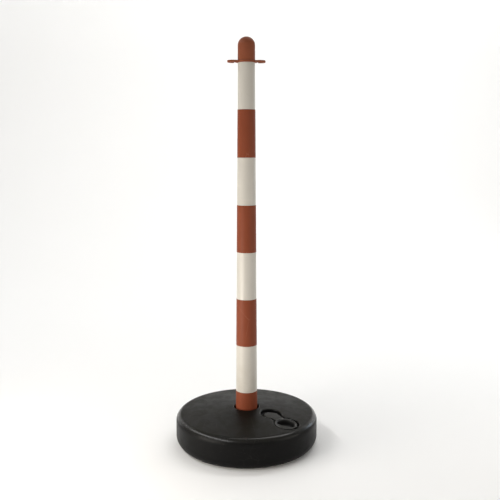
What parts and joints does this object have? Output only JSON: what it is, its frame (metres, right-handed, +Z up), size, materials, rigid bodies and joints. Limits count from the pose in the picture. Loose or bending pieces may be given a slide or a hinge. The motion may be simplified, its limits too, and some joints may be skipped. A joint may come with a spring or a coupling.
{
  "type": "delineator post",
  "caption": "Striped traffic delineator post with a tapered tube, domed cap, swivelling chain-hook ring and a ballasted round base with a pull-out filler plug.",
  "frame": {"origin": "on the floor, under the axis of the post, at the middle of the base", "axes": "+Z up along the post; +X to the right and -Y to the front, so the filler plug lies to the front right"},
  "size_m": [0.316, 0.316, 0.902],
  "materials": {
    "black_polyethylene": "satin",
    "sand": "matte",
    "plug_plastic": "satin",
    "seal_rubber": "matte",
    "white_plastic": "satin",
    "red_film": "satin",
    "red_plastic": "satin"
  },
  "bodies": {
    "base": {"base_shell": "black_polyethylene", "sand_ballast": "sand"},
    "post": {"post_tube": "white_plastic", "red_band_1": "red_film", "red_band_2": "red_film", "red_band_3": "red_film", "red_band_4": "red_film"},
    "hook_ring": {"chain_ring": "red_plastic"},
    "cap": {"top_cap": "red_plastic"},
    "plug": {"filler_plug": "plug_plastic", "plug_seal": "seal_rubber"}
  },
  "joints": [
    {"name": "post_lift", "type": "slide", "parent": "base", "child": "post", "axis": [0, 0, 1], "range_m": [0, 0.1]},
    {"name": "ring_turn", "type": "hinge", "parent": "post", "child": "hook_ring", "pos_m": [0, 0, 0.84845], "axis": [0, 0, 1], "continuous": true},
    {"name": "cap_pull", "type": "slide", "parent": "post", "child": "cap", "axis": [0, 0, 1], "range_m": [0, 0.05]},
    {"name": "plug_pull", "type": "slide", "parent": "base", "child": "plug", "axis": [0.0761, -0.0717, 0.9945], "range_m": [0, 0.03]}
  ]
}
